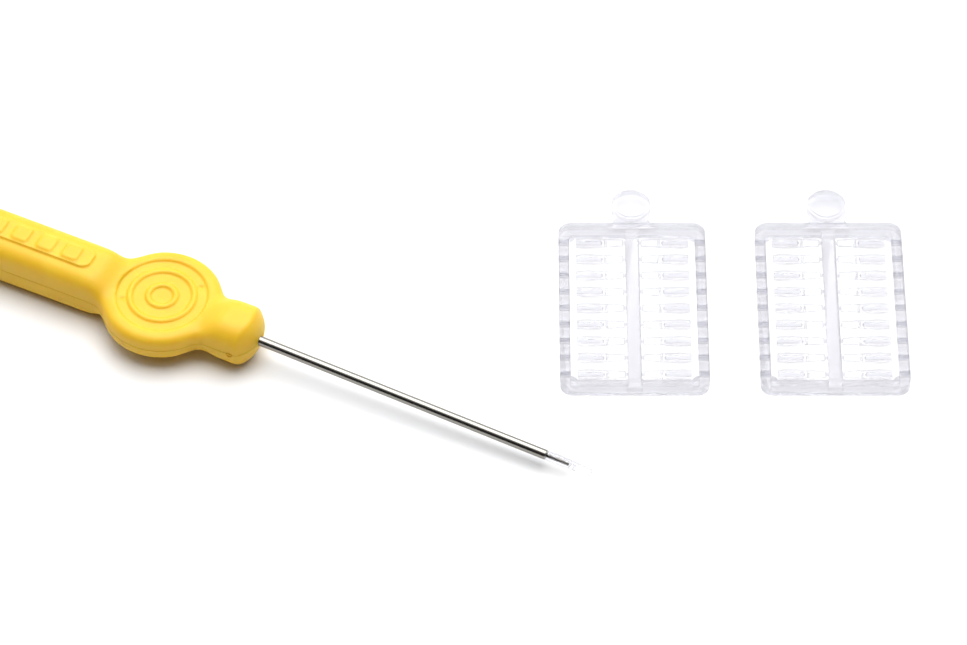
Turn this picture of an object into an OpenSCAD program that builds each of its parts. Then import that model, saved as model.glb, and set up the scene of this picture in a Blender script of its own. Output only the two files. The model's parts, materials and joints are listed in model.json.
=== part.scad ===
// Baiting needle with two cards of moulded bait stops, laid out flat on a table.
// Millimetres, +Z up. The origin is on the table, under the middle of the handle's grip bar.
// The tool points along +X in its own frame and is then turned by tool_yaw.

/* [Grip bar] */
// Thickness of the grip bar, table to top face
bar_t = 8.3; // [7:0.1:10.5]
// Width of the grip bar
bar_w = 9; // [7.6:0.1:11.4]
// Edge radius along the grip bar
bar_edge = 2.5; // [1.2:0.1:3]
// Tail end to the centre of the thumb disc
grip_len = 48; // [42:0.5:64]
// Tail end to the point that the origin is under
rest_from_tail = 20; // [14:0.5:24]

/* [Grip panel] */
// Width of the raised panel on the bar's top face
panel_w = 3.6; // [2.6:0.1:3.8]
// How far the panel stands above the bar's top face
panel_h = 0.3; // [0.2:0.05:0.5]
// Corner radius of the panel
panel_corner = 1.3; // [0.6:0.1:1.3]
// Gap from the tail end to the panel
panel_tail_gap = 8.4; // [6:0.1:12]
// Gap from the thumb disc's centre to the panel
panel_disc_gap = 11.6; // [11.2:0.1:14]
// Number of raised grip pads on the panel
pads = 6; // [3:1:7]
// Length of a pad along the bar
pad_len = 2.6; // [1.6:0.1:3]
// Margin between a pad and the panel's long edges
pad_margin = 0.45; // [0.3:0.05:0.8]
// Corner radius of a pad
pad_corner = 0.45; // [0.2:0.05:0.6]
// How far a pad stands above the panel
pad_h = 0.3; // [0.2:0.05:0.5]

/* [Thumb disc] */
// Diameter of the thumb disc
disc_d = 18.4; // [16:0.1:22]
// Thickness of the thumb disc
disc_t = 4.6; // [4:0.1:6]
// Edge radius of the thumb disc
disc_edge = 1.5; // [0.8:0.1:1.9]
// Diameter of the round recess in the disc's face
dish_d = 13.8; // [11:0.1:14.8]
// Depth of the round recess
dish_depth = 0.35; // [0.2:0.05:0.6]
// Width of each raised ring in the round recess
ring_w = 0.7; // [0.5:0.05:1]
// Number of raised rings
rings = 2; // [1:1:3]
// Length of the ramp between the bar's face and the disc's face
ramp_len = 3.2; // [2:0.1:4]
// Radius of the hollow corner between bar and disc, seen from above
neck_fillet = 3; // [1.5:0.1:4]

/* [Nose] */
// Thumb disc's centre to the end of the nose
nose_len = 16.4; // [14:0.1:20]
// Thickness of the nose
nose_t = 8; // [6.8:0.1:10]
// Width of the nose
nose_w = 8.9; // [7.6:0.1:11]
// Radius of the domed end of the nose
nose_dome = 6.6; // [6.4:0.1:9]
// Radius of the hollow corner between nose and disc, seen from above
nose_fillet = 1.2; // [0.6:0.1:2]

/* [Needle] */
// Diameter of the steel shank
shank_d = 1.5; // [1.2:0.05:1.8]
// Nose to the shoulder where the pin starts
shank_len = 46.9; // [30:0.1:70]
// Shank inside the handle
tang_len = 24; // [16:0.5:30]
// Diameter of the pin that carries a stop
pin_d = 0.58; // [0.4:0.02:0.7]
// Length of the pin
pin_len = 3.65; // [2.8:0.05:4.5]
// Depth of the grooves that lock the tang in the handle
groove_depth = 0.2; // [0.1:0.05:0.3]
// Width of a groove
groove_w = 1.2; // [0.6:0.1:2]
// Droop of the needle below the handle's line, in degrees
needle_pitch = 2.3; // [0:0.1:2.6]

/* [Stop] */
// Largest diameter of a stop
stop_d = 1.64; // [1.4:0.02:2]
// Diameter at the mouth
mouth_d = 1.36; // [1.2:0.02:1.4]
// Diameter of the nose end
tip_d = 1.12; // [0.8:0.02:1.3]
// Mouth to the largest diameter
swell_len = 1.7; // [1:0.1:3]
// Nose end beyond the eye
stop_nose_len = 2.5; // [1.5:0.1:4]
// Diameter of the eye for the hair
eye_d = 0.4; // [0.3:0.02:0.5]
// Solid web between the socket's end and the eye
eye_web = 0.25; // [0.15:0.05:0.6]

/* [Card] */
// Rows of stops on a card
rows = 9; // [3:1:12]
// Clear space between neighbouring rows
row_gap = 1.58; // [1:0.05:3]
// Clear space between the end rows and the end rails
end_gap = 0.9; // [0.5:0.05:3]
// Width of the rails
rail_w = 1.6; // [1.2:0.05:2.4]
// Bevel along the rails
rail_bevel = 0.35; // [0.2:0.05:0.5]
// Radius of the frame's outer corners
corner_r = 1.9; // [1.7:0.1:3]
// Width of the rib that feeds the stops
rib_w = 2.1; // [1.6:0.1:3]
// Diameter of a gate between rib and stop
gate_d = 0.5; // [0.3:0.05:0.8]
// Length of a gate
gate_len = 0.25; // [0.15:0.05:0.6]
// Clear space between a stop's mouth and the side rail
mouth_gap = 1; // [0.6:0.1:2]
// Diameter of the tab
tab_d = 6; // [5:0.1:9]
// Thickness of the tab
tab_t = 1.2; // [0.8:0.1:1.6]
// Frame's end to the tab's centre
tab_reach = 3.93; // [3.2:0.1:6]
// Width of the tab's raised rim
tab_rim = 0.55; // [0.3:0.05:1]
// Depth of the face inside the rim
tab_dish = 0.2; // [0.1:0.05:0.3]
// Width of the neck between tab and frame
neck_w = 5.2; // [3:0.1:5.6]
// Radius of the hollow corners where the neck meets the frame
tab_fillet = 1.3; // [0.5:0.1:2]
// Diameter of the ejector pads in the frame's corners
corner_pad_d = 2; // [1.4:0.1:2.6]

/* [Layout] */
// Turn of the tool about the origin, in degrees
tool_yaw = -25.5; // [-35:0.5:-20]
// Origin to the first card's left side
cards_left = 84.5; // [78:0.5:110]
// Gap between the two cards
card_gap = 7.5; // [3:0.5:30]
// Origin to the middle of the cards' frames, along Y
card_y = -10.1; // [-14:0.1:20]

/* [Clearances] */
// Pin to the wall of a stop's socket
pin_clear = 0.06; // [0.02:0.01:0.1]
// Pin's end to the end of the socket
pin_end_gap = 0.2; // [0.1:0.05:0.5]
// Shoulder to the mouth of the loaded stop
seat_gap = 0.02; // [0.01:0.01:0.1]
// Stop's nose to the gate that held it
break_gap = 0.02; // [0.01:0.01:0.05]
// Stop to the table, with the card lying flat
table_gap = 0.18; // [0.1:0.02:0.4]
// Wall of a socket to the wall of the hole in the rail in line with it
rail_hole_clear = 0.1; // [0.05:0.01:0.15]

/* [Hidden] */
$fn = 48;
CUT = 0.5; // how far a cutting body runs past the face that it cuts
mid_z = bar_t / 2;
disc_x = grip_len - rest_from_tail;
tail_x = -rest_from_tail;
nose_x = disc_x + nose_len;

socket_r = pin_d / 2 + pin_clear;
socket_len = pin_len + pin_end_gap;
socket_cone = 0.2; // height of the drill-point end of a socket
eye_z = socket_len + socket_cone + eye_web + eye_d / 2;
stop_len = eye_z + eye_d / 2 + stop_nose_len;
end_round = 0.15; // bevel at the nose end of a stop

frame_t = stop_d + 2 * table_gap;
row_pitch = stop_d + row_gap;
end_margin = rail_w + end_gap + stop_d / 2;
frame_l = (rows - 1) * row_pitch + 2 * end_margin;
side_w = gate_len + break_gap + stop_len + mouth_gap + rail_w;
frame_w = rib_w + 2 * side_w;
rail_hole_r = socket_r + rail_hole_clear;
card_centres = [for (i = [0, 1]) [cards_left + frame_w / 2 + i * (frame_w + card_gap), card_y]];
cards = ["card_a", "card_b"];

YELLOW = "#f5dc55";
STEEL = "#b9bab6";
CLEAR = [0.9, 0.91, 0.95, 0.45];

function stop_name(card, i) = str(cards[card], "_stop_", i < 10 ? "0" : "", i);

// ---- Shared shapes ----

// A rectangle with round corners, centred
module rounded_rect(w, t, r) {
    square([w - 2 * r, t], center = true);
    square([w, t - 2 * r], center = true);
    for (x = [-1, 1]) for (y = [-1, 1])
        translate([x * (w / 2 - r), y * (t / 2 - r)]) circle(r);
}

// A rectangle with bevelled corners, centred
module bevelled_rect(w, t, b) {
    x = w / 2;
    y = t / 2;
    polygon([[-x + b, -y], [x - b, -y], [x, -y + b], [x, y - b],
             [x - b, y], [-x + b, y], [-x, y - b], [-x, -y + b]]);
}

// The right half of a centred outline, ready to be turned about its axis
module half(w, t) {
    intersection() {
        children();
        translate([0, -t / 2]) square([w / 2, t]);
    }
}

// Extrudes a section, drawn as width by height, along +X from x0 to x1
module along_x(x0, x1) {
    translate([x0, 0, 0]) rotate([90, 0, 90]) linear_extrude(x1 - x0) children();
}

// The hollow corner, seen from above, between a round part of radius r and a straight side at half_w
module hollow_corners(r, half_w, fillet, t) {
    reach_y = half_w + fillet;
    reach_x = sqrt(pow(r + fillet, 2) - pow(reach_y, 2));
    for (side = [0, 1]) mirror([0, side, 0])
        translate([0, 0, -t / 2]) linear_extrude(t) difference() {
            polygon([[0, 0], [reach_x, 0], [reach_x, reach_y]]);
            translate([reach_x, reach_y]) circle(fillet);
        }
}

// Puts the tool's own frame into the layout
module in_tool() {
    rotate([0, 0, tool_yaw]) children();
}

// Puts +Z on the needle's axis, with zero at the end of the nose
module on_needle() {
    in_tool() translate([nose_x, 0, mid_z]) rotate([0, 90 + needle_pitch, 0]) children();
}

// ---- Handle ----

module tail_and_bar() {
    shape_t = bar_t - 2 * bar_edge;
    tail_centre = tail_x + bar_w / 2;
    ramp_top = disc_x - panel_disc_gap + CUT;
    ramp_foot = ramp_top + ramp_len;
    hidden_t = disc_t - 2 * disc_edge;
    translate([tail_centre, 0, mid_z]) rotate([0, 0, 90])
        rotate_extrude(angle = 180) half(bar_w, bar_t) rounded_rect(bar_w, bar_t, bar_edge);
    intersection() {
        translate([0, 0, mid_z]) along_x(tail_centre, disc_x) rounded_rect(bar_w, bar_t, bar_edge);
        translate([0, bar_w, mid_z]) rotate([90, 0, 0]) linear_extrude(2 * bar_w)
            polygon([[tail_x, -bar_t], [ramp_top, -bar_t], [ramp_top, -bar_t / 2],
                     [ramp_foot, -hidden_t / 2], [disc_x, -hidden_t / 2],
                     [disc_x, hidden_t / 2], [ramp_foot, hidden_t / 2],
                     [ramp_top, bar_t / 2], [ramp_top, bar_t], [tail_x, bar_t]]);
    }
}

module nose() {
    ramp_top = disc_x + disc_d / 2;
    ramp_foot = ramp_top - ramp_len;
    hidden_t = disc_t - 2 * disc_edge;
    dome_x = nose_x - nose_dome;
    intersection() {
        translate([0, 0, mid_z]) along_x(disc_x, nose_x + CUT) rounded_rect(nose_w, nose_t, bar_edge);
        translate([0, nose_w, mid_z]) rotate([90, 0, 0]) linear_extrude(2 * nose_w)
            polygon([[disc_x, -hidden_t / 2], [ramp_foot, -hidden_t / 2],
                     [ramp_top, -nose_t / 2], [ramp_top, -nose_t], [nose_x + CUT, -nose_t],
                     [nose_x + CUT, nose_t], [ramp_top, nose_t], [ramp_top, nose_t / 2],
                     [ramp_foot, hidden_t / 2], [disc_x, hidden_t / 2]]);
        translate([0, 0, mid_z]) union() {
            translate([dome_x, 0, 0]) sphere(nose_dome);
            along_x(disc_x - CUT, dome_x) circle(nose_dome);
        }
    }
}

module thumb_disc() {
    translate([disc_x, 0, mid_z]) {
        rotate_extrude() half(disc_d, disc_t) rounded_rect(disc_d, disc_t, disc_edge);
        hollow_corners(disc_d / 2, nose_w / 2, nose_fillet, disc_t - disc_edge);
        mirror([1, 0, 0]) hollow_corners(disc_d / 2, bar_w / 2, neck_fillet, disc_t - disc_edge);
    }
}

// The round recess in the disc's upper face, with raised rings left standing in it
module dish_cut() {
    ring_pitch = dish_d / 2 / (rings + 0.5);
    translate([disc_x, 0, mid_z + disc_t / 2 - dish_depth]) difference() {
        cylinder(d = dish_d, h = dish_depth + CUT);
        for (i = [1:rings]) difference() {
            r = (i - 0.25) * ring_pitch;
            translate([0, 0, -CUT]) cylinder(r = r + ring_w / 2, h = dish_depth + CUT);
            translate([0, 0, -2 * CUT]) cylinder(r = r - ring_w / 2, h = dish_depth + 3 * CUT);
        }
    }
}

// The long raised panel on the bar's upper face, with its row of grip pads
module grip_panel() {
    x0 = tail_x + panel_tail_gap;
    x1 = disc_x - panel_disc_gap;
    pad_w = panel_w - 2 * pad_margin;
    pad_pitch = (x1 - x0 - 2 * panel_corner) / pads;
    translate([(x0 + x1) / 2, 0, bar_t - bar_edge])
        linear_extrude(bar_edge + panel_h) rounded_rect(x1 - x0, panel_w, panel_corner);
    for (i = [0:pads - 1])
        translate([x0 + panel_corner + (i + 0.5) * pad_pitch, 0, bar_t - bar_edge])
            linear_extrude(bar_edge + panel_h + pad_h) rounded_rect(pad_len, pad_w, pad_corner);
}

module handle() {
    color(YELLOW) difference() {
        in_tool() difference() {
            union() {
                tail_and_bar();
                thumb_disc();
                nose();
                grip_panel();
            }
            dish_cut();
        }
        on_needle() steel_pin();
    }
}

// ---- Needle ----

// Tang, shank and stepped pin turned from one wire, along +Z from inside the handle
module steel_pin() {
    r = shank_d / 2;
    pin_r = pin_d / 2;
    shoulder_bevel = 0.15;
    tip_bevel = 0.12;
    groove_r = r - groove_depth;
    difference() {
        rotate_extrude() polygon([
            [0, -tang_len], [r - shoulder_bevel, -tang_len], [r, -tang_len + shoulder_bevel],
            [r, shank_len - shoulder_bevel], [r - shoulder_bevel, shank_len], [pin_r, shank_len],
            [pin_r, shank_len + pin_len - tip_bevel], [pin_r - tip_bevel, shank_len + pin_len],
            [0, shank_len + pin_len]]);
        for (i = [1:3]) translate([0, 0, -tang_len + 2 * i * groove_w]) difference() {
            cylinder(r = r + CUT, h = groove_w);
            cylinder(r = groove_r, h = groove_w);
        }
    }
}

module needle() {
    color(STEEL) on_needle() steel_pin();
}

// ---- Stops ----

// One hollow stop along +Z, with its mouth at zero and its eye along X
module stop() {
    swell_steps = 4;
    swell = [for (i = [1:swell_steps])
        [mouth_d / 2 + (stop_d - mouth_d) / 2 * sin(90 * i / swell_steps), swell_len * i / swell_steps]];
    color(CLEAR) difference() {
        rotate_extrude() polygon(concat(
            [[0, 0], [mouth_d / 2, 0]], swell,
            [[tip_d / 2, stop_len - end_round], [tip_d / 2 - end_round, stop_len], [0, stop_len]]));
        translate([0, 0, -CUT]) cylinder(r = socket_r, h = socket_len + CUT);
        translate([0, 0, socket_len]) cylinder(r1 = socket_r, r2 = socket_r / 4, h = socket_cone);
        translate([0, 0, eye_z]) rotate([0, 90, 0]) cylinder(d = eye_d, h = 2 * stop_d, center = true);
    }
}

module loaded_stop() {
    on_needle() translate([0, 0, shank_len + seat_gap]) stop();
}

// Stops 1 to rows fill the left side from the top down, and the rest fill the right side
module card_stop(card, i) {
    side = i <= rows ? -1 : 1;
    row = (i - 1) % rows;
    mouth_x = frame_w / 2 - rail_w - mouth_gap;
    translate(card_centres[card]) translate([side * mouth_x, ((rows - 1) / 2 - row) * row_pitch, frame_t / 2])
        rotate([0, -90 * side, 0]) stop();
}

// ---- Cards ----

module frame_ring() {
    straight_x = frame_w / 2 - corner_r;
    straight_y = frame_l / 2 - corner_r;
    for (side = [0, 1]) mirror([0, side, 0])
        translate([0, frame_l / 2 - rail_w / 2, 0])
            along_x(-straight_x, straight_x) bevelled_rect(rail_w, frame_t, rail_bevel);
    for (side = [0, 1]) mirror([side, 0, 0])
        translate([frame_w / 2 - rail_w / 2, 0, 0]) rotate([0, 0, 90])
            along_x(-straight_y, straight_y) bevelled_rect(rail_w, frame_t, rail_bevel);
    for (quarter = [0:3]) {
        sx = quarter == 0 || quarter == 3 ? 1 : -1;
        sy = quarter < 2 ? 1 : -1;
        translate([sx * straight_x, sy * straight_y, 0]) rotate([0, 0, 90 * quarter])
            rotate_extrude(angle = 90)
                translate([corner_r - rail_w / 2, 0]) bevelled_rect(rail_w, frame_t, rail_bevel);
    }
}

module tab() {
    y = frame_l / 2;
    neck_t = tab_t - 2 * tab_dish;
    translate([0, y + tab_reach, 0]) difference() {
        translate([0, 0, -tab_t / 2]) cylinder(d = tab_d, h = tab_t);
        for (side = [0, 1]) mirror([0, 0, side])
            translate([0, 0, tab_t / 2 - tab_dish]) cylinder(d = tab_d - 2 * tab_rim, h = tab_dish + CUT);
    }
    translate([0, 0, -neck_t / 2]) linear_extrude(neck_t) {
        translate([-neck_w / 2, y - rail_w / 2]) square([neck_w, tab_reach + rail_w / 2]);
        for (side = [0, 1]) mirror([side, 0]) difference() {
            translate([neck_w / 2 - CUT, y - CUT]) square(tab_fillet + CUT);
            translate([neck_w / 2 + tab_fillet, y + tab_fillet]) circle(tab_fillet);
        }
    }
}

module card_frame(card) {
    rib_end = frame_l / 2 - rail_w / 2;
    inner_x = frame_w / 2 - rail_w;
    inner_y = frame_l / 2 - rail_w;
    color(CLEAR) translate(card_centres[card]) translate([0, 0, frame_t / 2]) difference() {
        union() {
            frame_ring();
            tab();
            rotate([0, 0, 90]) along_x(-rib_end, rib_end) bevelled_rect(rib_w, frame_t, rail_bevel);
            for (x = [-1, 1]) for (y = [-1, 1])
                translate([x * inner_x, y * inner_y, -tab_t / 2]) cylinder(d = corner_pad_d, h = tab_t);
            for (row = [0:rows - 1])
                translate([0, ((rows - 1) / 2 - row) * row_pitch, 0])
                    along_x(-rib_w / 2 - gate_len, rib_w / 2 + gate_len) circle(d = gate_d);
        }
        for (row = [0:rows - 1])
            translate([0, ((rows - 1) / 2 - row) * row_pitch, 0])
                for (side = [0, 1]) mirror([side, 0, 0])
                    along_x(inner_x - CUT, frame_w / 2 + CUT) circle(rail_hole_r);
    }
}

module card_a_frame() {
    card_frame(0);
}

module card_b_frame() {
    card_frame(1);
}

handle();
needle();
loaded_stop();
card_a_frame();
card_b_frame();
for (card = [0, 1]) for (i = [1:2 * rows])
    card_stop(card, i);
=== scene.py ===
# %% [markdown]
# # A baiting needle and two cards of bait stops
#
# An angler threads bait on the steel needle and locks it with a tiny hollow stop, carried on the needle's
# stepped pin. Spare stops come on flat clear cards. The CAD model fixes every size and place. This script
# gives each part its finished surface around that frame, and nothing here moves a CAD part.

# %% Load the frame
import json
import math

import bmesh
import bpy
from mathutils import Matrix, Vector


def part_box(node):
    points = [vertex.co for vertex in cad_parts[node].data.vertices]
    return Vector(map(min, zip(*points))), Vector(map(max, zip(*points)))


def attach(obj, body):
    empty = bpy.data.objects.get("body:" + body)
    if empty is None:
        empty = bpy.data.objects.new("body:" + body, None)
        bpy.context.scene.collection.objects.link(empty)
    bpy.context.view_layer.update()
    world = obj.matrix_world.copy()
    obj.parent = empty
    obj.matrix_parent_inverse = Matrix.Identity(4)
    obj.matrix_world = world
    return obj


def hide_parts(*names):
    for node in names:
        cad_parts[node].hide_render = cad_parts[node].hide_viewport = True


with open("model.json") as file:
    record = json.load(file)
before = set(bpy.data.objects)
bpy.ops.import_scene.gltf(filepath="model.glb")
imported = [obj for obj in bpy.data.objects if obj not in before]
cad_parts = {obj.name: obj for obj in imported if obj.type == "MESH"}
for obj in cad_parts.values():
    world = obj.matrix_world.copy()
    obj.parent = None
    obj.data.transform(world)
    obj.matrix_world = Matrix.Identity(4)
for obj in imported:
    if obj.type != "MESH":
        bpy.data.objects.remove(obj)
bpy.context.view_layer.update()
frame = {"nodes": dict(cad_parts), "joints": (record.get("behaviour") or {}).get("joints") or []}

MM = 0.001
TINY = 0.001 * MM  # places closer than this are the same place

# %% [markdown]
# ## Where things are
#
# Places come from the frame: the boxes of the nodes, and the axis that the loaded stop slides along, which
# is the needle's own axis. From that axis follow the tool's turn on the table and the slight droop of the
# needle. The few sizes that a box can't give are repeated here in millimetres, under the names that the
# design uses.

# %% Places and sizes
slides = {joint["name"]: Vector(joint["axis"]).normalized() for joint in frame["joints"]}
needle_axis = slides["loaded_stop_slide"]
TOOL_YAW = math.atan2(needle_axis.y, needle_axis.x)
NEEDLE_PITCH = -math.asin(needle_axis.z)

PANEL_H, PAD_H = 0.3 * MM, 0.3 * MM
BAR_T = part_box("handle")[1].z - PANEL_H - PAD_H
MID_Z = BAR_T / 2
BAR_W, BAR_EDGE = 9 * MM, 2.5 * MM
TAIL_X, DISC_X, NOSE_X = -20 * MM, 28 * MM, 44.4 * MM
DISC_R, DISC_T, DISC_EDGE = 9.2 * MM, 4.6 * MM, 1.5 * MM
NOSE_W, NOSE_T, NOSE_EDGE = 8.9 * MM, 8 * MM, 3.4 * MM
print("tool turned", round(math.degrees(TOOL_YAW), 2), "degrees")
print("needle droops", round(math.degrees(NEEDLE_PITCH), 2), "degrees")

# %% [markdown]
# ## Camera, floor and light
#
# The set lies on a white sweep, as in a catalogue. A long lens at 50 degrees above the table keeps the
# shapes nearly parallel. One large soft lamp stands above and behind, so that shadows fall towards the
# viewer. The room around is bright above and behind and dim in front, which is what gives polished steel
# its dark band.

# %% Camera
CAMERA_UP = math.radians(50)
CAMERA_AWAY = 805 * MM
CAMERA_LENS, CAMERA_SENSOR = 200, 36
NEAREST_SEEN, FURTHEST_SEEN = 10 * MM, 20
LOOK_AT = Vector((73.16, -12.07, 0)) * MM
camera_data = bpy.data.cameras.new("camera")
camera_data.lens = CAMERA_LENS
camera_data.sensor_width = CAMERA_SENSOR
camera = bpy.data.objects.new("camera", camera_data)
bpy.context.scene.collection.objects.link(camera)
camera.location = LOOK_AT + CAMERA_AWAY * Vector((0, -math.cos(CAMERA_UP), math.sin(CAMERA_UP)))
camera.rotation_euler = (math.pi / 2 - CAMERA_UP, 0, 0)
camera_data.clip_start = NEAREST_SEEN
camera_data.clip_end = FURTHEST_SEEN
bpy.context.scene.camera = camera
print("camera at", [round(v, 3) for v in camera.location])


# %% Hex colours and the one node helper
def linear(hex_colour):
    """An sRGB hex colour as linear red, green, blue and alpha."""
    parts = [int(hex_colour[i:i + 2], 16) / 255 for i in (1, 3, 5)]
    return [p / 12.92 if p <= 0.04045 else ((p + 0.055) / 1.055) ** 2.4 for p in parts] + [1.0]


def add_node(tree, kind, inputs=None, **properties):
    """Adds a node. inputs gives each socket a value or another node's output; properties set the rest."""
    node = tree.nodes.new(kind)
    for name, value in properties.items():
        setattr(node, name, value)
    for socket, value in (inputs or {}).items():
        if isinstance(value, bpy.types.NodeSocket):
            tree.links.new(value, node.inputs[socket])
        else:
            node.inputs[socket].default_value = value
    return node


def new_material(name):
    """An empty node material with its output node."""
    material = bpy.data.materials.new(name)
    material.use_nodes = True
    tree = material.node_tree
    tree.nodes.clear()
    return material, tree, tree.nodes.new("ShaderNodeOutputMaterial")


print("yellow in linear light:", [round(v, 3) for v in linear("#EFC22C")])

# %% Floor and light
FLOOR_SIZE, FLOOR_DROP = 1.5, 0.02 * MM  # the drop keeps the floor from sharing a plane with the cards
KEY_SIZE, KEY_POWER = (0.75, 0.8), 6.8
KEY_FROM_SET = Vector((0.04, 0.2, 0.74))
ROOM_UP = (0, 0.6, 0.8)
ROOM_DIM, ROOM_BRIGHT = (0.03, 0.03, 0.03, 1), (1.35, 1.36, 1.4, 1)

scene = bpy.context.scene
scene.view_settings.view_transform = "Standard"

bpy.ops.object.select_all(action="DESELECT")
bpy.ops.mesh.primitive_plane_add(size=FLOOR_SIZE, location=(LOOK_AT.x, LOOK_AT.y, -FLOOR_DROP))
floor = bpy.context.object
floor.name = "floor"
floor_paint, tree, output = new_material("matt white sweep")
shader = add_node(tree, "ShaderNodeBsdfPrincipled",
                  {"Base Color": linear("#EEEEEE"), "Roughness": 0.9, "Specular IOR Level": 0.1})
tree.links.new(shader.outputs[0], output.inputs["Surface"])
floor.data.materials.append(floor_paint)

key_data = bpy.data.lights.new("key softbox", "AREA")
key_data.shape = "RECTANGLE"
key_data.size, key_data.size_y = KEY_SIZE
key_data.energy = KEY_POWER
key = bpy.data.objects.new("key softbox", key_data)
scene.collection.objects.link(key)
key.location = LOOK_AT + KEY_FROM_SET
key.rotation_euler = (LOOK_AT - key.location).to_track_quat("-Z", "Y").to_euler()

world = bpy.data.worlds.new("white studio")
scene.world = world
world.use_nodes = True
tree = world.node_tree
tree.nodes.clear()
direction = add_node(tree, "ShaderNodeTexCoord")
toward_key = add_node(tree, "ShaderNodeVectorMath", {0: direction.outputs["Generated"], 1: ROOM_UP},
                      operation="DOT_PRODUCT")
room = add_node(tree, "ShaderNodeValToRGB", {"Fac": toward_key.outputs["Value"]})
room.color_ramp.elements[0].position = 0.25
room.color_ramp.elements[0].color = ROOM_DIM
room.color_ramp.elements[1].position = 0.9
room.color_ramp.elements[1].color = ROOM_BRIGHT
seen = add_node(tree, "ShaderNodeLightPath")
mixed = add_node(tree, "ShaderNodeMix",
                 {0: seen.outputs["Is Camera Ray"], 6: room.outputs["Color"], 7: (1, 1, 1, 1)},
                 data_type="RGBA")
background = add_node(tree, "ShaderNodeBackground", {"Color": mixed.outputs[2], "Strength": 1.0})
add_node(tree, "ShaderNodeOutputWorld", {"Surface": background.outputs[0]})
print("floor, key softbox and room are set")


# %% Modelling helpers
def fresh():
    """Leaves edit mode and deselects everything, so that an operator acts on the new piece only."""
    if bpy.context.object and bpy.context.object.mode != "OBJECT":
        bpy.ops.object.mode_set(mode="OBJECT")
    bpy.ops.object.select_all(action="DESELECT")


def named(name):
    """Names the piece that was just added."""
    piece = bpy.context.object
    piece.name = name
    piece.data.name = name
    return piece


def box_piece(name, size, centre):
    """A cube primitive at its real size and place."""
    fresh()
    bpy.ops.mesh.primitive_cube_add(size=1, location=centre, scale=size)
    bpy.ops.object.transform_apply(location=True, rotation=True, scale=True)
    return named(name)


def rod_piece(name, radius, low, high, sides, centre=(0, 0)):
    """A cylinder primitive standing along Z from low to high."""
    fresh()
    bpy.ops.mesh.primitive_cylinder_add(vertices=sides, radius=radius, depth=high - low,
                                        location=(centre[0], centre[1], (low + high) / 2))
    bpy.ops.object.transform_apply(location=True, rotation=True, scale=True)
    return named(name)


def select_only(piece):
    """Selects one piece and makes it active."""
    fresh()
    piece.select_set(True)
    bpy.context.view_layer.objects.active = piece


def pick(piece, test, kind="FACE"):
    """Enters edit mode and selects the faces, edges or vertices whose middle and normal pass the test."""
    if piece.mode != "EDIT":
        select_only(piece)
        bpy.ops.object.mode_set(mode="EDIT")
    bpy.ops.mesh.select_mode(type=kind)
    bpy.ops.mesh.select_all(action="DESELECT")
    mesh = bmesh.from_edit_mesh(piece.data)
    for item in {"FACE": mesh.faces, "EDGE": mesh.edges, "VERT": mesh.verts}[kind]:
        if kind == "FACE":
            chosen = test(item.calc_center_median(), item.normal)
        elif kind == "EDGE":
            a, b = (v.co for v in item.verts)
            chosen = test((a + b) / 2, (b - a).normalized())
        else:
            chosen = test(item.co, item.normal)
        item.select_set(chosen)
    mesh.select_flush_mode()
    bmesh.update_edit_mesh(piece.data)


def cut_at(piece, point, normal):
    """Adds a loop of edges where a plane crosses the piece."""
    if piece.mode != "EDIT":
        select_only(piece)
        bpy.ops.object.mode_set(mode="EDIT")
    bpy.ops.mesh.select_all(action="SELECT")
    bpy.ops.mesh.bisect(plane_co=point, plane_no=normal)


def round_uprights(piece, radius, segments):
    """Rounds a box's corners as seen from above."""
    pick(piece, lambda co, way: abs(way.z) > 0.9, "EDGE")
    bpy.ops.mesh.bevel(offset=radius, segments=segments, affect="EDGES")
    fresh()


def modify(piece, kind, **settings):
    """Adds a modifier with its settings and applies it."""
    select_only(piece)
    modifier = piece.modifiers.new(kind, kind)
    for name, value in settings.items():
        setattr(modifier, name, value)
    bpy.ops.object.modifier_apply(modifier=modifier.name)


def carve(piece, cutter, operation="DIFFERENCE"):
    """Cuts another piece out of this one, or melts it in, and removes it."""
    modify(piece, "BOOLEAN", object=cutter, operation=operation, solver="EXACT")
    bpy.data.objects.remove(cutter)


def join(pieces):
    """Makes one object of several."""
    fresh()
    for piece in pieces:
        piece.select_set(True)
    bpy.context.view_layer.objects.active = pieces[0]
    bpy.ops.object.join()
    return pieces[0]


def put(piece, matrix):
    """Moves a piece to its place and leaves its object at the origin, with the place in its mesh."""
    select_only(piece)
    piece.matrix_world = matrix @ piece.matrix_world
    bpy.context.view_layer.update()
    bpy.ops.object.transform_apply(location=True, rotation=True, scale=True)


def placed_copy(piece, name, matrix):
    """A copy of a piece, with its own mesh, in its place."""
    copy = piece.copy()
    copy.data = piece.data.copy()
    scene.collection.objects.link(copy)
    copy.name = copy.data.name = name
    put(copy, matrix)
    return copy


def settle(piece, angle=35):
    """Merges doubles, turns the faces outwards and shades the piece smooth up to an angle."""
    select_only(piece)
    bpy.ops.object.mode_set(mode="EDIT")
    bpy.ops.mesh.select_all(action="SELECT")
    bpy.ops.mesh.remove_doubles(threshold=TINY / 2)
    bpy.ops.mesh.normals_make_consistent(inside=False)
    bpy.ops.object.mode_set(mode="OBJECT")
    bpy.ops.object.shade_smooth_by_angle(angle=math.radians(angle))


def finish_piece(piece, body, slot, material, *nodes):
    """Gives a finished piece its finish, its body and the CAD nodes that it stands for."""
    piece.data.materials.clear()
    piece.data.materials.append(material)
    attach(piece, body)
    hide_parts(*nodes)


TO_TOOL = Matrix.Rotation(TOOL_YAW, 4, "Z")
ALONG_X = Matrix.Rotation(math.pi / 2, 4, "Y")
NOSE_TO_NEEDLE = (Matrix.Translation((NOSE_X, 0, MID_Z))
                  @ Matrix.Rotation(math.pi / 2 + NEEDLE_PITCH, 4, "Y"))
TO_NEEDLE = TO_TOOL @ NOSE_TO_NEEDLE
print("helpers ready")

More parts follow.
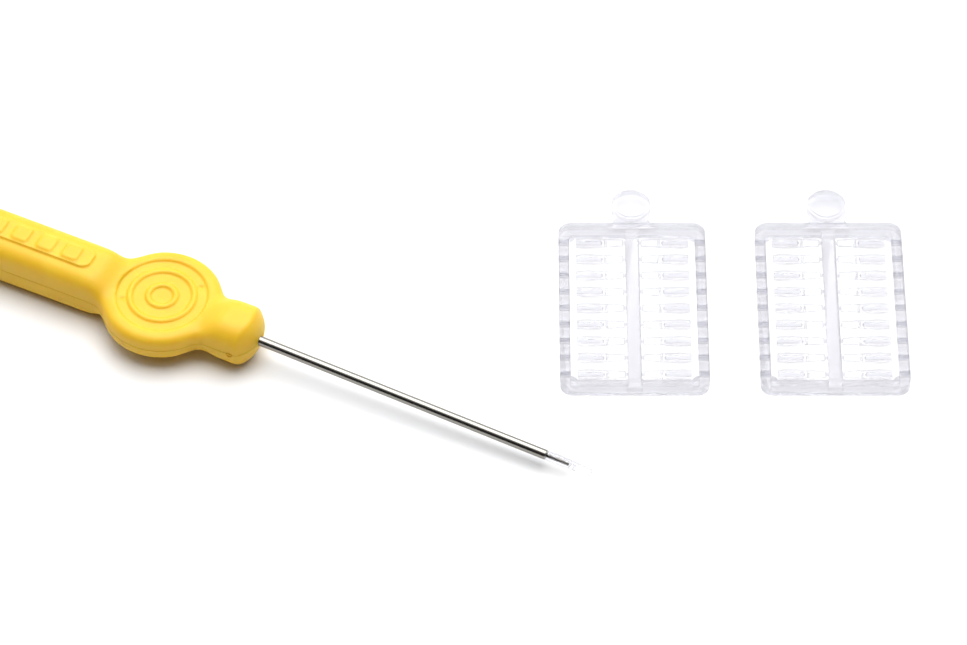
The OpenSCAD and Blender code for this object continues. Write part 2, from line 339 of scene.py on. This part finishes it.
# %% [markdown]
# ## Yellow: soft plastic, injection moulded and lightly spark-eroded
#
# The grip is a soft, coloured plastic. The mould's fine matt texture spreads every highlight, and light
# that enters the plastic comes out a little way off, warmer than it went in, so the creases glow orange. A
# small translucent share keeps the shaded sides warm.

# %% Yellow moulded plastic
CLOUD_SIZE = 5 * MM
EROSION_SIZE = 0.2 * MM  # real spark erosion is finer than 0.05 mm: drawn coarser so that it shows
yellow_plastic, tree, output = new_material("soft moulded plastic, yellow")
place = add_node(tree, "ShaderNodeTexCoord")
cloud = add_node(tree, "ShaderNodeTexNoise",
                 {"Vector": place.outputs["Object"], "Scale": 1 / CLOUD_SIZE, "Detail": 3.0})
tone = add_node(tree, "ShaderNodeValToRGB", {"Fac": cloud.outputs["Fac"]})
tone.color_ramp.elements[0].position = 0.3
tone.color_ramp.elements[0].color = linear("#EFC22C")
tone.color_ramp.elements[1].position = 0.7
tone.color_ramp.elements[1].color = linear("#F3CA37")
erosion = add_node(tree, "ShaderNodeTexNoise",
                   {"Vector": place.outputs["Object"], "Scale": 1 / EROSION_SIZE, "Detail": 2.0})
relief = add_node(tree, "ShaderNodeBump",
                  {"Height": erosion.outputs["Fac"], "Strength": 0.15, "Distance": 0.02 * MM})
sheen = add_node(tree, "ShaderNodeMapRange", {"Value": cloud.outputs["Fac"], "To Min": 0.38, "To Max": 0.48})
shader = add_node(tree, "ShaderNodeBsdfPrincipled",
                  {"Base Color": tone.outputs["Color"], "Roughness": sheen.outputs["Result"], "IOR": 1.5,
                   "Normal": relief.outputs["Normal"], "Specular IOR Level": 0.35, "Subsurface Weight": 0.4,
                   "Subsurface Radius": (1.0, 0.5, 0.08), "Subsurface Scale": 1.8 * MM})
glow = add_node(tree, "ShaderNodeBsdfTranslucent", {"Color": linear("#FFA51E")})
skin = add_node(tree, "ShaderNodeMixShader", {0: 0.1, 1: shader.outputs[0], 2: glow.outputs[0]})
tree.links.new(skin.outputs[0], output.inputs["Surface"])
print("yellow plastic ready")

# %% [markdown]
# ## The handle
#
# One moulding: a long bar for the palm, a thumb disc and a nose that holds the steel. Such soft transitions
# are hard to build edge by edge. So each part is made from its own primitive, all are melted into one skin
# by a voxel remesh, and the skin is relaxed until the corners are as round as the mould's.

# %% Soft ramps and hollow corners
RAMP_STEPS = 8


def ramp_down(piece, start, length, waist):
    """Thins a piece about the middle plane, from full at start to the waist's share, along a soft S."""
    for step in range(1, RAMP_STEPS + 1):
        cut_at(piece, (start + length * step / RAMP_STEPS, 0, 0), (1, 0, 0))
    for step in range(1, RAMP_STEPS + 1):
        x = start + length * step / RAMP_STEPS
        thin = 1 - (1 - waist) * (1 - math.cos(math.pi * step / RAMP_STEPS)) / 2
        beyond = math.copysign(1, length) if step == RAMP_STEPS else 0
        pick(piece, lambda co, no: (co.x - x) * beyond > TINY or abs(co.x - x) < TINY, "VERT")
        bpy.ops.transform.resize(value=(1, 1, thin), center_override=(0, 0, MID_Z))
    fresh()


def hollow_corner(toward, half_w, radius, side):
    """The web that rounds out the corner between the disc and a straight side, as seen from above."""
    reach_y = half_w + radius
    reach_x = math.sqrt((DISC_R + radius) ** 2 - reach_y ** 2)
    web = box_piece("web", (reach_x, reach_y, WEB_T),
                    (DISC_X + toward * reach_x / 2, side * reach_y / 2, MID_Z))
    pick(web, lambda co, no: abs(co.x - DISC_X) < TINY and abs(co.y) > TINY, "VERT")
    bpy.ops.transform.translate(value=(toward * reach_x / 2, -side * reach_y / 2, 0))
    fresh()
    carve(web, rod_piece("round", radius, -1 * MM, BAR_T + 1 * MM, 64,
                         (DISC_X + toward * reach_x, side * reach_y)))
    return web


def round_rims(piece, width):
    """Rounds the edges around the top and bottom faces."""
    modify(piece, "BEVEL", width=width, segments=8, limit_method="ANGLE", angle_limit=math.radians(60),
           use_clamp_overlap=False)


# %% Grip bar
# Bar and nose run into the disc a little thinner than it is, so that they stay hidden in it.
WAIST_T = 0.97 * DISC_T
RAMP_TOP, RAMP_LEN = 17.2 * MM, 4.6 * MM
tail_x = TAIL_X + 0.06 * MM  # leaves room for the flash line inside the handle's real length
bar = box_piece("handle_moulding", (DISC_X - tail_x, BAR_W, BAR_T), ((tail_x + DISC_X) / 2, 0, MID_Z))
pick(bar, lambda co, way: co.x < tail_x + TINY and abs(way.z) > 0.9, "EDGE")
bpy.ops.mesh.bevel(offset=0.499 * BAR_W, segments=20, affect="EDGES")
fresh()
round_rims(bar, BAR_EDGE)
ramp_down(bar, RAMP_TOP, RAMP_LEN, WAIST_T / BAR_T)
print("bar", len(bar.data.polygons))

# %% Thumb disc
disc = rod_piece("disc", DISC_R, MID_Z - DISC_T / 2, MID_Z + DISC_T / 2, 128, (DISC_X, 0))
round_rims(disc, DISC_EDGE)
print("disc", len(disc.data.polygons))

# %% Nose
CAP_R, NOSE_RAMP_TOP, NOSE_RAMP_LEN = 6.0 * MM, 39.4 * MM, 4.8 * MM
CAP_REACH = 15 * MM  # how far the cap's back is drawn out, to take in the whole nose
nose = box_piece("nose", (NOSE_X - DISC_X, NOSE_W, NOSE_T), ((NOSE_X + DISC_X) / 2, 0, MID_Z))
pick(nose, lambda co, way: abs(way.x) > 0.9, "EDGE")
bpy.ops.mesh.bevel(offset=NOSE_EDGE, segments=10, affect="EDGES")
fresh()
ramp_down(nose, NOSE_RAMP_TOP, -NOSE_RAMP_LEN, WAIST_T / NOSE_T)

bpy.ops.mesh.primitive_uv_sphere_add(segments=96, ring_count=48, radius=CAP_R,
                                     location=(NOSE_X - CAP_R, 0, MID_Z))
bpy.ops.object.transform_apply(location=True, rotation=True, scale=True)
cap = named("cap")
pick(cap, lambda co, no: co.x < NOSE_X - CAP_R - TINY, "VERT")
bpy.ops.transform.translate(value=(-CAP_REACH, 0, 0))
fresh()
carve(nose, cap, "INTERSECT")
print("nose", len(nose.data.polygons))

# %% Melt the parts into one skin, then relax it, most of all where they meet
WEB_T = DISC_T - 0.8 * MM
BAR_FILLET, NOSE_FILLET = 3 * MM, 1.2 * MM
webs = [hollow_corner(-1, BAR_W / 2, BAR_FILLET, side) for side in (-1, 1)]
webs += [hollow_corner(1, NOSE_W / 2, NOSE_FILLET, side) for side in (-1, 1)]
handle = join([bar, disc, nose] + webs)
modify(handle, "REMESH", mode="VOXEL", voxel_size=0.25 * MM)
modify(handle, "SMOOTH", factor=0.5, iterations=12)
# The middle and the reach of the two places where the parts meet.
JOINTS = ((20 * MM, 4 * MM), (36.4 * MM, 3 * MM))
joints = handle.vertex_groups.new(name="joints")
for vertex in handle.data.vertices:
    weight = max(1 - abs(vertex.co.x - x) / reach for x, reach in JOINTS)
    joints.add([vertex.index], max(0, weight), "REPLACE")
modify(handle, "SMOOTH", factor=0.5, iterations=110, vertex_group="joints")
handle.vertex_groups.clear()
print("handle skin", len(handle.data.polygons))

# %% [markdown]
# ### Reliefs on the top of the handle
#
# The thumb dish with its raised rings is sunk in. A long raised panel with pads, which stop the fingers
# slipping, stands on the bar. A second, finer remesh then gives the edges the small radius that a mould for
# soft plastic has.

# %% Dish, rings, panel and pads
DISC_TOP = MID_Z + DISC_T / 2
DISH_R, DISH_DEPTH, RING_W, RINGS = 6.9 * MM, 0.35 * MM, 0.7 * MM, 2
PANEL_W, PANEL_CORNER, PANEL_FROM, PANEL_TO = 3.6 * MM, 1.3 * MM, -11.6 * MM, 16.4 * MM
PADS, PAD_LEN, PAD_MARGIN, PAD_CORNER = 6, 2.6 * MM, 0.45 * MM, 0.45 * MM

dish = rod_piece("dish", DISH_R, DISC_TOP - DISH_DEPTH, DISC_TOP + 1 * MM, 96, (DISC_X, 0))
for i in range(1, RINGS + 1):
    ring_r = (i - 0.25) * DISH_R / (RINGS + 0.5)
    ring = rod_piece("ring", ring_r + RING_W / 2, DISC_TOP - 1 * MM, DISC_TOP, 96, (DISC_X, 0))
    carve(ring, rod_piece("hole", ring_r - RING_W / 2, DISC_TOP - 2 * MM, DISC_TOP + 1 * MM, 96,
                          (DISC_X, 0)))
    carve(dish, ring)

PLATE_ROOT = 1 * MM  # how deep the panel and the pads reach into the bar, to melt into it
panel = box_piece("panel", (PANEL_TO - PANEL_FROM, PANEL_W, PLATE_ROOT + PANEL_H),
                  ((PANEL_TO + PANEL_FROM) / 2, 0, BAR_T + (PANEL_H - PLATE_ROOT) / 2))
round_uprights(panel, PANEL_CORNER, 8)
raised = [panel]
pad_pitch = (PANEL_TO - PANEL_FROM - 2 * PANEL_CORNER) / PADS
for i in range(PADS):
    x = PANEL_FROM + PANEL_CORNER + (i + 0.5) * pad_pitch
    pad = box_piece("pad", (PAD_LEN, PANEL_W - 2 * PAD_MARGIN, PLATE_ROOT + PANEL_H + PAD_H),
                    (x, 0, BAR_T + (PANEL_H + PAD_H - PLATE_ROOT) / 2))
    round_uprights(pad, PAD_CORNER, 5)
    raised.append(pad)

DIMPLE_R, DIMPLE_DEPTH = 0.4 * MM, 0.25 * MM
dimples = [rod_piece("dimple", DIMPLE_R, DISC_TOP - DISH_DEPTH - DIMPLE_DEPTH, DISC_TOP + 1 * MM, 16,
                     (DISC_X + x * MM, y * MM))
           for x, y in ((4.4, 4.1), (-5.3, -2.9))]
for cutter in [dish] + dimples:
    carve(handle, cutter)
for plate in raised:
    carve(handle, plate, "UNION")
modify(handle, "REMESH", mode="VOXEL", voxel_size=0.175 * MM)
modify(handle, "SMOOTH", factor=0.5, iterations=3)
print("handle with its reliefs", len(handle.data.polygons))

# %% Bore, flash line and gate mark
SHANK_R, PIN_R, SHANK_LEN, TANG_LEN, PIN_LEN = 0.75 * MM, 0.29 * MM, 46.9 * MM, 24 * MM, 3.65 * MM
# How far the parting line stands proud. It is nearer 0.03 mm in life, and is drawn larger so that it shows.
FLASH = 0.06 * MM
GATE_MARK_X, GATE_MARK_R, GATE_MARK_DEPTH = 41.4 * MM, 0.5 * MM, 0.12 * MM

select_only(handle)
bpy.ops.object.duplicate()
flash = named("handle_flash")
pick(flash, lambda co, no: True)
bpy.ops.mesh.bisect(plane_co=(0, 0, MID_Z + FLASH), plane_no=(0, 0, 1), clear_outer=True)
bpy.ops.mesh.select_all(action="SELECT")
bpy.ops.mesh.bisect(plane_co=(0, 0, MID_Z - FLASH), plane_no=(0, 0, 1), clear_inner=True)
fresh()
modify(flash, "SOLIDIFY", thickness=2 * FLASH, offset=0)
bore = rod_piece("bore", SHANK_R, -TANG_LEN, 2 * MM, 64)
put(bore, NOSE_TO_NEEDLE)
carve(handle, bore)
gate_mark = rod_piece("gate_mark", GATE_MARK_R, -0.2 * MM, GATE_MARK_DEPTH, 32)
put(gate_mark, Matrix.Translation((GATE_MARK_X, -NOSE_W / 2, MID_Z)) @ Matrix.Rotation(-math.pi / 2, 4, "X"))
carve(handle, gate_mark)
for piece in (handle, flash):
    put(piece, TO_TOOL)
    settle(piece)
finish_piece(handle, "tool", "handle_yellow", yellow_plastic, "handle")
flash.data.materials.clear()
flash.data.materials.append(yellow_plastic)
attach(flash, "tool")
print("handle", len(handle.data.polygons), "flash", len(flash.data.polygons))

# %% [markdown]
# ## Steel: stainless spring wire, drawn and polished
#
# Drawing leaves fine scratches along the wire, and polishing thins them out until only a faint streak is
# left in the reflections. The needle is one wire: its tang is grooved so that the plastic locks on it, and
# its tip is ground down to the pin.

# %% Polished wire
# Across the wire. Real drawing scratches are finer, and are drawn wider so that they show.
SCRATCH_SIZE = 0.1 * MM
SCRATCH_STRETCH = 40  # how much longer a scratch runs along the wire
steel, tree, output = new_material("stainless wire, drawn and polished")
place = add_node(tree, "ShaderNodeTexCoord")
along = add_node(tree, "ShaderNodeMapping",
                 {"Vector": place.outputs["Object"], "Rotation": (0, NEEDLE_PITCH, TOOL_YAW),
                  "Scale": (SCRATCH_STRETCH, 1, 1)}, vector_type="TEXTURE")
scratch = add_node(tree, "ShaderNodeTexNoise",
                   {"Vector": along.outputs["Vector"], "Scale": 1 / SCRATCH_SIZE, "Detail": 4.0})
rough = add_node(tree, "ShaderNodeMapRange", {"Value": scratch.outputs["Fac"], "To Min": 0.12, "To Max": 0.3})
relief = add_node(tree, "ShaderNodeBump",
                  {"Height": scratch.outputs["Fac"], "Strength": 0.2, "Distance": 0.01 * MM})
shader = add_node(tree, "ShaderNodeBsdfPrincipled",
                  {"Base Color": linear("#918E87"), "Metallic": 1.0, "Roughness": rough.outputs["Result"],
                   "Normal": relief.outputs["Normal"]})
tree.links.new(shader.outputs[0], output.inputs["Surface"])
print("steel ready")

# %% Needle
needle = rod_piece("needle_wire", SHANK_R, -TANG_LEN, SHANK_LEN, 64)
pick(needle, lambda co, no: no.z > 0.9)
bpy.ops.mesh.inset(thickness=SHANK_R - PIN_R)
bpy.ops.mesh.extrude_region_move(TRANSFORM_OT_translate={"value": (0, 0, PIN_LEN)})
fresh()
GROOVE_W, GROOVE_DEPTH, GROOVES = 1.2 * MM, 0.2 * MM, 3
TIP_ROUND = 0.12 * MM
for i in range(1, GROOVES + 1):
    start = -TANG_LEN + 2 * i * GROOVE_W
    cut_at(needle, (0, 0, start), (0, 0, 1))
    cut_at(needle, (0, 0, start + GROOVE_W), (0, 0, 1))
    pick(needle, lambda co, no: start < co.z < start + GROOVE_W and abs(no.z) < 0.5)
    bpy.ops.mesh.extrude_region_shrink_fatten(TRANSFORM_OT_shrink_fatten={"value": -GROOVE_DEPTH})
ends = [-TANG_LEN, SHANK_LEN, SHANK_LEN + PIN_LEN]


def end_edge(co, way):
    """True on the round edges at the wire's ends and shoulder, but not where the pin meets the shoulder."""
    at_end = any(abs(co.z - z) < TINY for z in ends)
    inner = abs(co.z - SHANK_LEN) < TINY and co.xy.length < 1.2 * PIN_R
    return at_end and not inner


pick(needle, end_edge, "EDGE")
bpy.ops.mesh.bevel(offset=TIP_ROUND, segments=3, affect="EDGES")
fresh()
put(needle, TO_NEEDLE)
settle(needle)
finish_piece(needle, "tool", "needle_steel", steel, "needle")
print("needle", len(needle.data.polygons))

# %% [markdown]
# ## Clear plastic: polystyrene, injection moulded in a polished mould
#
# It is nearly colourless and hard. What the eye sees is only its edges, where it bends the light away, and
# small bright reflections. The grey of those edges is painted shade: a darker tint blended in where the
# surface slants from the eye.
# Lamps shine straight through it, so it hardly casts a shadow.

# %% Clear plastic
THROUGH_TINT = (0.92, 0.915, 0.91, 1)  # what a lamp's light keeps as it passes through one surface
FLOW_SIZE = 2.5 * MM  # the slow ripple that the melt leaves as it fills the mould


def clear_plastic(name, straight_tint, painted_edge_shade):
    """Clear plastic: light goes straight through where it faces the eye, and is bent and given a painted grey
    shade where it slants.
    """
    material, tree, output = new_material(name)
    place = add_node(tree, "ShaderNodeTexCoord")
    flow = add_node(tree, "ShaderNodeTexNoise",
                    {"Vector": place.outputs["Object"], "Scale": 1 / FLOW_SIZE, "Detail": 2.0})
    relief = add_node(tree, "ShaderNodeBump",
                      {"Height": flow.outputs["Fac"], "Strength": 0.1, "Distance": 0.05 * MM})
    # The glass lobe's grey base colour is painted shade, for the edges that slant from the eye.
    glass = add_node(tree, "ShaderNodeBsdfPrincipled",
                     {"Base Color": linear(painted_edge_shade), "Roughness": 0.04, "IOR": 1.5,
                      "Transmission Weight": 1.0, "Normal": relief.outputs["Normal"]})
    straight = add_node(tree, "ShaderNodeBsdfTransparent", {"Color": linear(straight_tint)})
    slant = add_node(tree, "ShaderNodeLayerWeight", {"Blend": 0.45})
    # How much of the glass lobe, with its painted edge shade, shows: more as the surface slants from the eye.
    bent = add_node(tree, "ShaderNodeMapRange",
                    {"Value": slant.outputs["Facing"], "To Min": 0.2, "To Max": 0.9})
    thin = add_node(tree, "ShaderNodeMixShader",
                    {0: bent.outputs["Result"], 1: straight.outputs[0], 2: glass.outputs[0]})
    through = add_node(tree, "ShaderNodeBsdfTransparent", {"Color": THROUGH_TINT})
    ray = add_node(tree, "ShaderNodeLightPath")
    lamp_ray = add_node(tree, "ShaderNodeMath",
                        {0: ray.outputs["Is Shadow Ray"], 1: ray.outputs["Is Diffuse Ray"]},
                        operation="MAXIMUM")
    either = add_node(tree, "ShaderNodeMixShader",
                      {0: lamp_ray.outputs[0], 1: thin.outputs[0], 2: through.outputs[0]})
    tree.links.new(either.outputs[0], output.inputs["Surface"])
    return material


# The card is the thicker moulding, so it tints more at each surface than a stop does. The second colour of
# each is painted shade for the slanting edges.
card_plastic = clear_plastic("clear moulded polystyrene, card", "#ECECEF", "#D2D2D9")
stop_plastic = clear_plastic("clear moulded polystyrene, stop", "#FBFBFC", "#C9C9D1")
print("clear plastics ready")

# %% One stop
STOP_R, MOUTH_R, TIP_R, SWELL_LEN, STOP_LEN = 0.82 * MM, 0.68 * MM, 0.56 * MM, 1.7 * MM, 7.2 * MM
SOCKET_R, SOCKET_LEN, CONE, EYE_Z, EYE_R = 0.35 * MM, 3.85 * MM, 0.2 * MM, 4.5 * MM, 0.2 * MM
END_ROUND = 0.15 * MM
CONE_TIP = 0.25  # the cone's narrow end as a share of the socket
SWELL_STEPS = 6


def stop_radius(z):
    """The stop's outer radius: it swells from the mouth along a quarter of a sine and then tapers evenly."""
    if z < SWELL_LEN:
        return MOUTH_R + (STOP_R - MOUTH_R) * math.sin(math.pi / 2 * z / SWELL_LEN)
    return STOP_R + (TIP_R - STOP_R) * (z - SWELL_LEN) / (STOP_LEN - END_ROUND - SWELL_LEN)


stop = rod_piece("stop", STOP_R, 0, STOP_LEN, 40)
heights = [SWELL_LEN * i / SWELL_STEPS for i in range(SWELL_STEPS + 1)] + [STOP_LEN - END_ROUND, STOP_LEN]
for z in heights[1:-1]:
    cut_at(stop, (0, 0, z), (0, 0, 1))
for z in heights:
    share = (TIP_R - END_ROUND if z == STOP_LEN else stop_radius(z)) / STOP_R
    pick(stop, lambda co, no: abs(co.z - z) < TINY, "VERT")
    bpy.ops.transform.resize(value=(share, share, 1), center_override=(0, 0, z))
pick(stop, lambda co, no: no.z < -0.9 and co.z < TINY)
bpy.ops.mesh.inset(thickness=MOUTH_R - SOCKET_R)
bpy.ops.mesh.extrude_region_move(TRANSFORM_OT_translate={"value": (0, 0, SOCKET_LEN)})
bpy.ops.mesh.extrude_region_move(TRANSFORM_OT_translate={"value": (0, 0, CONE)})
bpy.ops.transform.resize(value=(CONE_TIP, CONE_TIP, 1))
fresh()
eye = rod_piece("eye", EYE_R, -2 * MM, 2 * MM, 24)
put(eye, Matrix.Translation((0, 0, EYE_Z)) @ ALONG_X)
carve(stop, eye)
settle(stop, 30)
print("stop", len(stop.data.polygons))

# %% Every stop in its place
ROWS = 9  # stops in one column of a card
SHOULDER_GAP = 0.02 * MM
stop_names = [name for name in sorted(frame["nodes"]) if "stop" in name]
for name in stop_names:
    low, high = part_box(name)
    if name == "loaded_stop":
        matrix = TO_NEEDLE @ Matrix.Translation((0, 0, SHANK_LEN + SHOULDER_GAP))
    else:
        left = int(name[-2:]) <= ROWS
        mouth = Vector((low.x if left else high.x, (low.y + high.y) / 2, (low.z + high.z) / 2))
        matrix = Matrix.Translation(mouth) @ Matrix.Rotation(math.pi / 2 * (1 if left else -1), 4, "Y")
    finish_piece(placed_copy(stop, name + "_clear", matrix), name, "clear_stop", stop_plastic, name)
bpy.data.objects.remove(stop)
print(len(stop_names), "stops placed")

# %% Card frame
FRAME_W, FRAME_L, FRAME_T = 22.24 * MM, 32.4 * MM, 2.0 * MM
RAIL_W, RAIL_BEVEL, CORNER_R, RIB_W = 1.6 * MM, 0.35 * MM, 1.9 * MM, 2.1 * MM
ROW_PITCH = 3.22 * MM
TAB_R, TAB_T, TAB_REACH, TAB_RIM, TAB_DISH = 3 * MM, 1.2 * MM, 3.93 * MM, 0.55 * MM, 0.2 * MM
NECK_W, TAB_FILLET, PAD_R, HOLE_R = 5.2 * MM, 1.3 * MM, 1 * MM, 0.45 * MM
GATE_R, GATE_LEN, WINDOW_CORNER_R = 0.25 * MM, 0.25 * MM, 0.3 * MM
IN_X, IN_Y = FRAME_W / 2 - RAIL_W, FRAME_L / 2 - RAIL_W

card = box_piece("card", (FRAME_W, FRAME_L, FRAME_T), (0, 0, 0))
round_uprights(card, CORNER_R, 8)
window_w = IN_X - RIB_W / 2
for side in (-1, 1):
    window = box_piece("window", (window_w, 2 * IN_Y, 2 * FRAME_T),
                       (side * (RIB_W / 2 + window_w / 2), 0, 0))
    round_uprights(window, WINDOW_CORNER_R, 3)
    carve(card, window)
modify(card, "BEVEL", width=RAIL_BEVEL, segments=3, limit_method="ANGLE", angle_limit=math.radians(60))
print("rails and rib", len(card.data.polygons))
rows = [((ROWS - 1) / 2 - row) * ROW_PITCH for row in range(ROWS)]
holes = []
for y in rows:
    hole = rod_piece("hole", HOLE_R, -FRAME_W, FRAME_W, 24)
    put(hole, Matrix.Translation((0, y, 0)) @ ALONG_X)
    holes.append(hole)
# The hole rods keep only their ends, where they cross the side rails.
spare = box_piece("spare", (2 * (IN_X - 0.2 * MM), 2 * IN_Y, FRAME_T), (0, 0, 0))
holes = join(holes)
carve(holes, spare)
carve(card, holes)

tab = rod_piece("tab", TAB_R, -TAB_T / 2, TAB_T / 2, 96, (0, FRAME_L / 2 + TAB_REACH))
neck = box_piece("neck", (NECK_W, TAB_REACH + RAIL_W / 2, TAB_T - 2 * TAB_DISH),
                 (0, FRAME_L / 2 + TAB_REACH / 2 - RAIL_W / 4, 0))
foot = box_piece("foot", (NECK_W + 2 * TAB_FILLET, TAB_FILLET + 0.5 * MM, TAB_T - 2 * TAB_DISH),
                 (0, FRAME_L / 2 + TAB_FILLET / 2 - 0.25 * MM, 0))
for side in (-1, 1):
    carve(foot, rod_piece("round", TAB_FILLET, -1 * MM, 1 * MM, 48,
                          (side * (NECK_W / 2 + TAB_FILLET), FRAME_L / 2 + TAB_FILLET)))
carve(tab, neck, "UNION")
carve(tab, foot, "UNION")
for low, high in ((TAB_T / 2 - TAB_DISH, TAB_T), (-TAB_T, -TAB_T / 2 + TAB_DISH)):
    carve(tab, rod_piece("dish", TAB_R - TAB_RIM, low, high, 96, (0, FRAME_L / 2 + TAB_REACH)))
carve(card, tab, "UNION")
for x in (-IN_X, IN_X):
    for y in (-IN_Y, IN_Y):
        carve(card, rod_piece("pad", PAD_R, -TAB_T / 2, TAB_T / 2, 48, (x, y)), "UNION")
for y in rows:
    gate = rod_piece("gate", GATE_R, -RIB_W / 2 - GATE_LEN, RIB_W / 2 + GATE_LEN, 20)
    put(gate, Matrix.Translation((0, y, 0)) @ ALONG_X)
    carve(card, gate, "UNION")
settle(card, 30)
print("card frame", len(card.data.polygons))

# %% Both card frames in their places
for letter in "ab":
    low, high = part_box(f"card_{letter}_frame")
    centre = Vector(((low.x + high.x) / 2, low.y + FRAME_L / 2, (low.z + high.z) / 2))
    copy = placed_copy(card, f"card_{letter}_moulding", Matrix.Translation(centre))
    finish_piece(copy, f"card_{letter}", "clear_card", card_plastic, f"card_{letter}_frame")
bpy.data.objects.remove(card)
print("cards placed")
